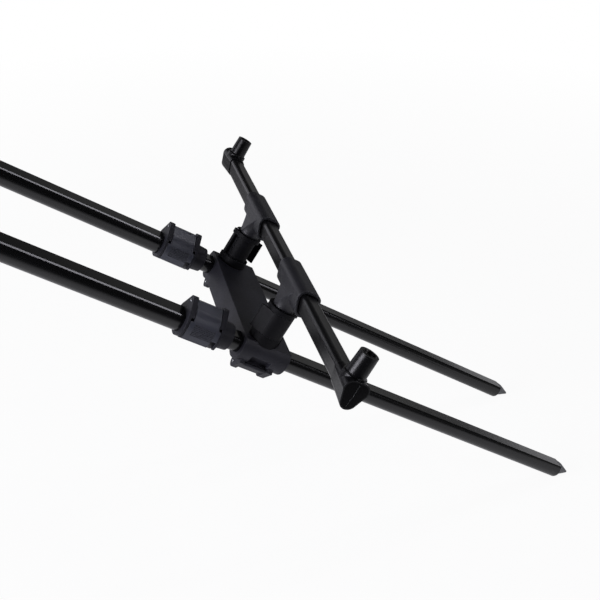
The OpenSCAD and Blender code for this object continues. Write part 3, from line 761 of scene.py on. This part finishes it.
class RODPOD_OT_pins(bpy.types.Operator):
    """Plated pins with domed ends"""

    bl_idname = "rodpod.pins"
    bl_label = "Pins"

    def execute(self, context):
        s = context.scene.rod_pod
        material = turned_metal(
            "zinc_plated_steel_pins", s.colours.steel,
            rough=0.28, metallic=1.0, ring_mm=0.6, round_mm=0.2,
        )
        coat(["pole_collar_pins", *(f"{b}_clamp_pins" for b in BAR_Y)], material)
        coat([f"leg_pin_{side}" for side in SIDES], material)
        crown = s.sizes.pin_crown
        up, stem = np.array([0.0, 1.0, 0.0]), np.array([0.0, 0.0, 1.0])

        far = COLLAR_MOUTH - COLLAR_BARREL
        heads = [
            self.dome(np.array([x, y + d * PIN_PROUD, COLLAR_PIN_OFF]), d * up, PIN_R, crown)
            for x in POLE_X
            for y, d in ((COLLAR_MOUTH, 1), (far, -1))
        ]
        add_piece("pole_pin_heads", heads, "frame", material)

        low, top = -BLOCK_PIN_OFF, STEM_CLAMP_TOP + PIN_PROUD
        for bar, y0 in BAR_Y.items():
            heads = [
                self.dome(np.array([x, y0 + y + d * PIN_PROUD, low]), d * up, PIN_R, crown)
                for x in POLE_X
                for y, d in zip(BLOCK_EARS, (1, -1))
            ]
            heads += [
                self.dome(np.array([x, y0 + d * STEM_PIN_OFF, top]), stem, STEM_PIN_R, crown)
                for x, d in zip(POLE_X, (-1, 1))
            ]
            add_piece(f"{bar}_pin_heads", heads, f"{bar}_carriage", material)

        for side, sign in SIDES.items():
            axes, pivot = leg_axes(sign)
            far = LEG_COLLAR_MOUTH + COLLAR_BARREL
            heads = []
            for h, d in ((LEG_COLLAR_MOUTH, -1), (far, 1)):
                at = pivot + axes @ np.array([LEG_OFF, COLLAR_PIN_OFF, h + d * PIN_PROUD])
                heads.append(self.dome(at, d * axes[:, 2], PIN_R, crown))
            add_piece(f"leg_pin_heads_{side}", heads, f"leg_{side}", material)
        return {"FINISHED"}

    @staticmethod
    def dome(at, out, radius, crown):
        """A shallow dome over a pin's end.

        Its height falls as the square root of one minus the squared radius share; its foot is sunk
        into the pin, just within the pin's edge.
        """
        sunk, within, points = 0.25, 0.98, 20
        share = np.array([0.0, 1.0, 1.0, 0.97, 0.88, 0.7, 0.4, 0.0])
        height = crown * np.sqrt(1 - share**2)
        height[:2] = -sunk
        # Any direction will do here that no pin points in
        side = np.cross(out, [0.3, 0.5, 0.81])
        side /= np.linalg.norm(side)
        axes = np.stack([side, np.cross(out, side), out], -1)
        return lathe(np.stack([height, radius * within * share], -1), plain, at, axes, points)


class RODPOD_OT_bolts(bpy.types.Operator):
    """Button-head pivot bolts with hexagon sockets, and their nuts"""

    bl_idname = "rodpod.bolts"
    bl_label = "Pivot bolts and nuts"

    def execute(self, context):
        s = context.scene.rod_pod
        material = turned_metal(
            "zinc_plated_steel_bolts", s.colours.steel,
            rough=0.3, metallic=1.0, ring_mm=0.8, round_mm=0.3,
        )
        coat(["leg_pivot_nuts"], material)
        grids = [self.bolt(s.sizes.bolt_flats / 2, sign) for sign in SIDES.values()]
        add_piece(
            "pivot_bolts", grids, "frame", material, replaces=("leg_pivot_bolts",)
        )
        return {"FINISHED"}

    @staticmethod
    def bolt(half, sign):
        """Shaft, button head and hexagon socket as one turned profile.

        Rings of the socket follow a hexagon: half the flats over the cosine of the angle to the
        nearest flat.
        """
        bevel, edge, rim, deep, lip, points = 0.4, 0.2, 2.4, 2.4, 0.3, 72
        brim, steep = 1.25 * half, 0.98
        share = np.linspace(1.0, brim / BOLT_HEAD_R, 8)
        spring = BOLT_UNDER + rim
        crown = spring + (BOLT_TOP - spring) * np.sqrt(1 - steep * share**2)
        shell = [
            (BOLT_TAIL, 0.0), (BOLT_TAIL, BOLT_R - bevel), (BOLT_TAIL + bevel, BOLT_R),
            (BOLT_UNDER, BOLT_R), (BOLT_UNDER, BOLT_HEAD_R - edge),
            (BOLT_UNDER + edge, BOLT_HEAD_R), *zip(crown, BOLT_HEAD_R * share),
        ]
        mouth, floor, narrow = crown[-1], BOLT_TOP - deep, half - 0.05
        socket = [(mouth, half), (mouth - lip, narrow), (floor, narrow), (floor, 0.0)]
        profile = np.array(shell + socket)

        def hexagon(h, r, t):
            flat = 1 / np.cos((t + np.pi / 6) % (np.pi / 3) - np.pi / 6)
            inside = np.arange(len(profile))[:, None] >= len(shell)
            return np.where(inside, r * flat, r)

        tilt = np.array([sign * math.cos(SPLAY), 0.0, math.sin(SPLAY)])
        side = np.array([0.0, 1.0, 0.0])
        axes = np.stack([side, np.cross(tilt, side), tilt], -1)
        pivot = np.array([sign * POLE_X[1], PIVOT_Y, 0.0])
        return lathe(profile, hexagon, pivot, axes, points)


class RODPOD_OT_spikes(bpy.types.Operator):
    """Turned ground spikes in the ends of the thin tubes"""

    bl_idname = "rodpod.spikes"
    bl_label = "Ground spikes"

    def execute(self, context):
        s = context.scene.rod_pod
        ring = s.sizes.spike_ring
        material = turned_metal(
            "black_anodised_aluminium_spikes_turned", s.colours.spike,
            rough=0.42, metallic=0.0, ring_mm=1.0, round_mm=0.3,
        )
        down = np.array([[1.0, 0, 0], [0, 0, -1.0], [0, 1.0, 0]])
        for side, sign in SIDES.items():
            foot = np.array([sign * POLE_X[1], SPIKE_CONE - REAR_REACH, 0.0])
            add_piece(
                f"pole_spike_point_{side}", [self.spike(ring, foot, down)],
                f"lower_pole_{side}", material, replaces=(f"pole_spike_{side}",),
            )
            axes, pivot = leg_axes(sign)
            foot = pivot + axes @ np.array([LEG_OFF, 0.0, LEG_REACH - SPIKE_CONE])
            add_piece(
                f"leg_spike_point_{side}", [self.spike(ring, foot, axes)],
                f"lower_leg_{side}", material, replaces=(f"leg_spike_{side}",),
            )
        return {"FINISHED"}

    @staticmethod
    def spike(ring, at, axes):
        """Stub, shoulder and cone of one spike.

        The tube's D section has the polar radius of its circle, its flat and the two small faces
        beside the flat, whichever is least. A ring takes the lesser of that and the profile's own
        radius: the shoulder is a quarter round, the cone falls evenly to a blunt tip, and shallow
        turning rings follow the height.
        """
        foot, turn, stub, stub_share, step, points = 7.6, 1.4, 8.0, 0.85, 0.02, 96
        ring_rate, ring_from = 5.2, 0.55
        bend = np.linspace(0, np.pi / 2, 8)
        shoulder = np.stack([turn * np.sin(bend), TUBE_R - turn * (1 - np.cos(bend))], -1)
        h = np.linspace(turn + step, SPIKE_CONE - 0.5, 46)
        h = np.concatenate([h, [SPIKE_CONE - 0.15, SPIKE_CONE]])
        r = foot + (SPIKE_TIP - foot) * (h - turn) / (SPIKE_CONE - turn)
        r[-2:] = SPIKE_TIP * np.array([0.9, 0.5])
        back = [(-SPIKE_STUB, 0.0), (-SPIKE_STUB, stub), (-step, stub), (-step, TUBE_R)]
        profile = np.vstack([back, shoulder, np.stack([h, r], -1), [(SPIKE_CONE, 0.0)]])

        def section(hh, rr, t):
            least = 1e-6
            flat_at = FLAT_SHARE * TUBE_R
            flat = flat_at / np.maximum(np.sin(t), least)
            corner = TUBE_R * math.sqrt(1 - FLAT_SHARE**2) - FLAT_EDGE
            reach = flat_at * math.cos(EDGE_SLOPE) + corner * math.sin(EDGE_SLOPE)
            lean = np.abs(np.cos(t)) * math.sin(EDGE_SLOPE) + np.sin(t) * math.cos(EDGE_SLOPE)
            d = np.minimum(np.minimum(flat, reach / np.maximum(lean, least)), TUBE_R)
            ringed = (hh > turn + 1) & (hh < SPIKE_CONE - 1) & (np.sin(hh * ring_rate) > ring_from)
            skin = np.where(hh < 0, np.minimum(d * stub_share, rr), np.minimum(d, rr))
            return skin - np.where(ringed & (rr < d), ring, 0.0)

        return lathe(profile, section, at, axes, points)


class RODPOD_OT_stage(bpy.types.Operator):
    """Pale floor, soft lamps, white room and camera"""

    bl_idname = "rodpod.stage"
    bl_label = "Studio"

    def execute(self, context):
        st = context.scene.rod_pod.stage
        self.room(context.scene, st)
        self.floor(st)
        up, back, slant = (0.0, 0.0, 1.0), (0.0, 1.0, 0.0), (0.04, 0.76, 0.65)
        strip, ceiling = (0.1, 0.62), (0.9, 0.9)
        # Name, place, point aimed at, direction of the second side, both sides, power
        lamps = (
            ("near_strip", (0.249, -1.108, 1.245), (-0.08, -0.1, 0.28), slant, strip, st.rear),
            ("far_strip", (0.491, -1.055, 1.263), (0.06, -0.1, 0.28), slant, strip, st.rear),
            ("front_softbox", (-0.45, 1.25, 0.75), (0.0, -0.15, 0.25), up, (0.9, 0.6), st.front),
            ("left_softbox", (-0.7, -1.0, 0.54), (0.0, -0.2, 0.25), up, (0.35, 0.35), st.left),
            ("front_card", (1.25, 0.7, 0.45), (0.0, -0.2, 0.2), up, (1.2, 0.9), st.card),
            ("overhead_softbox", (0.0, 0.0, 1.8), (0.0, 0.0, 0.0), back, ceiling, st.top),
        )
        for lamp in lamps:
            self.lamp(*lamp)
        self.camera(context.scene, st)
        context.scene.view_settings.view_transform = "Standard"
        return {"FINISHED"}

    @staticmethod
    def room(scene, st):
        """White to the camera; a dim room, paler at the rear horizon, for light and reflections."""
        rearward = (0.45, -0.9, 0.0)
        world = bpy.data.worlds.new("studio_room")
        world.use_nodes = True
        scene.world = world
        tree = world.node_tree
        tree.nodes.clear()
        path, seen = camera_view(tree)
        place = add_node(tree, "ShaderNodeTexCoord")
        split = add_node(tree, "ShaderNodeSeparateXYZ", {"Vector": place.outputs["Generated"]})
        rear = add_node(
            tree, "ShaderNodeVectorMath", {0: place.outputs["Generated"], 1: rearward},
            operation="DOT_PRODUCT",
        )
        horizon = add_node(
            tree, "ShaderNodeMapRange",
            {
                "Value": rear.outputs["Value"], "From Min": 0.1, "From Max": 0.6,
                "To Min": 0.5 * st.room, "To Max": 3.2 * st.room,
            },
        )
        haze = add_node(
            tree, "ShaderNodeMapRange",
            {
                "Value": split.outputs["Z"], "From Min": 0.0, "From Max": 0.3,
                "To Min": horizon.outputs["Result"], "To Max": 0.3 * st.room,
            },
        )
        shine = add_node(
            tree, "ShaderNodeMix",
            {0: path.outputs["Is Glossy Ray"], 2: st.room, 3: haze.outputs["Result"]},
            data_type="FLOAT",
        )
        level = add_node(
            tree, "ShaderNodeMath", {0: seen, 1: shine.outputs[0]}, operation="MAXIMUM"
        )
        sky = add_node(
            tree, "ShaderNodeBackground",
            {"Color": (1.0, 1.0, 1.0, 1.0), "Strength": level.outputs["Value"]},
        )
        add_node(tree, "ShaderNodeOutputWorld", {"Surface": sky.outputs["Background"]})

    @staticmethod
    def floor(st):
        """A pale floor, white to the camera but for part of the object's soft shadow.

        Reflections see a bright pool under the pod, dark floor round it, and a faint glow that
        grows far out, mostly on the right. reach is the distance from the middle of the pool.
        """
        half = st.floor / 2
        pool, pool_edge = (0.1, -0.25, 0.0), {"From Min": 0.5, "From Max": 0.9}
        mesh = bpy.data.meshes.new("studio_floor")
        corners = [(-half, -half, 0), (half, -half, 0), (half, half, 0), (-half, half, 0)]
        mesh.from_pydata(corners, [], [(0, 1, 2, 3)])
        material = bpy.data.materials.new("pale_paper_floor")
        material.use_nodes = True
        tree = material.node_tree
        tree.nodes.clear()
        path, seen = camera_view(tree)
        place = add_node(tree, "ShaderNodeTexCoord")
        split = add_node(tree, "ShaderNodeSeparateXYZ", {"Vector": place.outputs["Object"]})
        reach = add_node(
            tree, "ShaderNodeVectorMath", {0: place.outputs["Object"], 1: pool},
            operation="DISTANCE",
        ).outputs["Value"]

        # Paper, and the dark that reflections see in place of it outside the pool
        fibre = add_node(
            tree, "ShaderNodeTexNoise",
            {"Vector": place.outputs["Object"], "Scale": 40.0, "Detail": 2.0},
        )
        tone = two_tones(tree, fibre.outputs["Fac"], (0.88, 0.88, 0.88), (0.92, 0.92, 0.92))
        paper = add_node(tree, "ShaderNodeBsdfDiffuse", {"Color": tone})
        dark = add_node(tree, "ShaderNodeBsdfDiffuse", {"Color": (0.05, 0.05, 0.05, 1.0)})
        fade = add_node(
            tree, "ShaderNodeMapRange", {"Value": reach, **pool_edge, "To Min": 0.0, "To Max": 0.9}
        )
        dusk = add_node(
            tree, "ShaderNodeMath", {0: fade.outputs["Result"], 1: path.outputs["Is Glossy Ray"]},
            operation="MULTIPLY",
        )
        table = add_node(
            tree, "ShaderNodeMixShader",
            {0: dusk.outputs["Value"], 1: paper.outputs["BSDF"], 2: dark.outputs["BSDF"]},
        )

        # Glow of the pool and of the far right, for reflections
        near = add_node(
            tree, "ShaderNodeMapRange", {"Value": reach, **pool_edge, "To Min": 0.3, "To Max": 0.0}
        )
        right = add_node(
            tree, "ShaderNodeMapRange",
            {
                "Value": split.outputs["X"], "From Min": -0.5, "From Max": 0.5,
                "To Min": 0.1, "To Max": 1.0,
            },
        )
        far = add_node(
            tree, "ShaderNodeMapRange",
            {"Value": reach, "From Min": 0.9, "From Max": 2.0, "To Max": right.outputs["Result"]},
        )
        ends = add_node(
            tree, "ShaderNodeMath",
            {0: far.outputs["Result"], 1: 0.15, 2: near.outputs["Result"]},
            operation="MULTIPLY_ADD",
        )
        shine = add_node(
            tree, "ShaderNodeMath", {0: path.outputs["Is Glossy Ray"], 1: ends.outputs["Value"]},
            operation="MULTIPLY",
        )

        # White for the camera, all but a share that keeps the shadow near the pod
        pale = add_node(
            tree, "ShaderNodeMapRange",
            {"Value": reach, "From Min": 0.6, "From Max": 1.6, "To Min": 0.94, "To Max": 1.0},
        )
        share = add_node(
            tree, "ShaderNodeMath",
            {0: seen, 1: pale.outputs["Result"], 2: shine.outputs["Value"]},
            operation="MULTIPLY_ADD",
        )
        glow = add_node(
            tree, "ShaderNodeEmission", {"Color": (1.0, 1.0, 1.0, 1.0), "Strength": 1.0}
        )
        mix = add_node(
            tree, "ShaderNodeMixShader",
            {0: share.outputs["Value"], 1: table.outputs["Shader"], 2: glow.outputs["Emission"]},
        )
        add_node(tree, "ShaderNodeOutputMaterial", {"Surface": mix.outputs["Shader"]})
        mesh.materials.append(material)
        floor = bpy.data.objects.new("studio_floor", mesh)
        bpy.context.scene.collection.objects.link(floor)

    @staticmethod
    def lamp(name, at, aim, along, size, power):
        """A rectangular soft lamp at a place, aimed at a point, one side along a direction."""
        data = bpy.data.lights.new(name, "AREA")
        data.shape = "RECTANGLE"
        data.size, data.size_y = size
        data.energy = power
        data.color = linear("#f6f5ff")
        lamp = bpy.data.objects.new(name, data)
        behind = (Vector(at) - Vector(aim)).normalized()
        across = Vector(along).cross(behind).normalized()
        turn = Matrix((across, behind.cross(across), behind)).transposed()
        lamp.matrix_world = Matrix.Translation(at) @ turn.to_4x4()
        bpy.context.scene.collection.objects.link(lamp)

    @staticmethod
    def camera(scene, st):
        """The camera at the photograph's place, aim and roll."""
        data = bpy.data.cameras.new("photo_camera")
        data.sensor_width = 36.0
        data.lens = st.lens
        data.clip_start = 0.01
        camera = bpy.data.objects.new("photo_camera", data)
        turn = Vector(st.camera_aim).to_track_quat("-Z", "Y").to_matrix()
        turn = turn @ Matrix.Rotation(st.camera_roll, 3, "Z")
        camera.matrix_world = Matrix.Translation(st.camera_at) @ turn.to_4x4()
        scene.collection.objects.link(camera)
        scene.camera = camera


OPERATORS = (
    RODPOD_OT_tubes, RODPOD_OT_blocks, RODPOD_OT_levers, RODPOD_OT_caps, RODPOD_OT_inserts,
    RODPOD_OT_pins, RODPOD_OT_bolts, RODPOD_OT_spikes, RODPOD_OT_stage,
)


class RODPOD_PT_panel(bpy.types.Panel):
    """Rod pod pieces and settings"""

    bl_idname = "RODPOD_PT_panel"
    bl_label = "Rod pod"
    bl_space_type = "VIEW_3D"
    bl_region_type = "UI"
    bl_category = "Rod pod"

    def draw(self, context):
        settings = context.scene.rod_pod
        for operator in OPERATORS:
            self.layout.operator(operator.bl_idname)
        self.layout.prop(settings, "around")
        for group in (settings.sizes, settings.colours, settings.stage):
            box = self.layout.box()
            for key in group.bl_rna.properties.keys():
                if key not in {"rna_type", "name"}:
                    box.prop(group, key)


CLASSES = (RodPodSizes, RodPodColours, RodPodStage, RodPodSettings, *OPERATORS, RODPOD_PT_panel)


def register():
    """Registers the settings, operators and panel."""
    for cls in CLASSES:
        bpy.utils.register_class(cls)
    bpy.types.Scene.rod_pod = PointerProperty(type=RodPodSettings)


def unregister():
    """Removes them again."""
    del bpy.types.Scene.rod_pod
    for cls in reversed(CLASSES):
        bpy.utils.unregister_class(cls)


def main():
    """Dresses the model, one operator after another."""
    register()
    for operator in OPERATORS:
        group, action = operator.bl_idname.split(".")
        getattr(getattr(bpy.ops, group), action)()


if __name__ == "__main__":
    main()
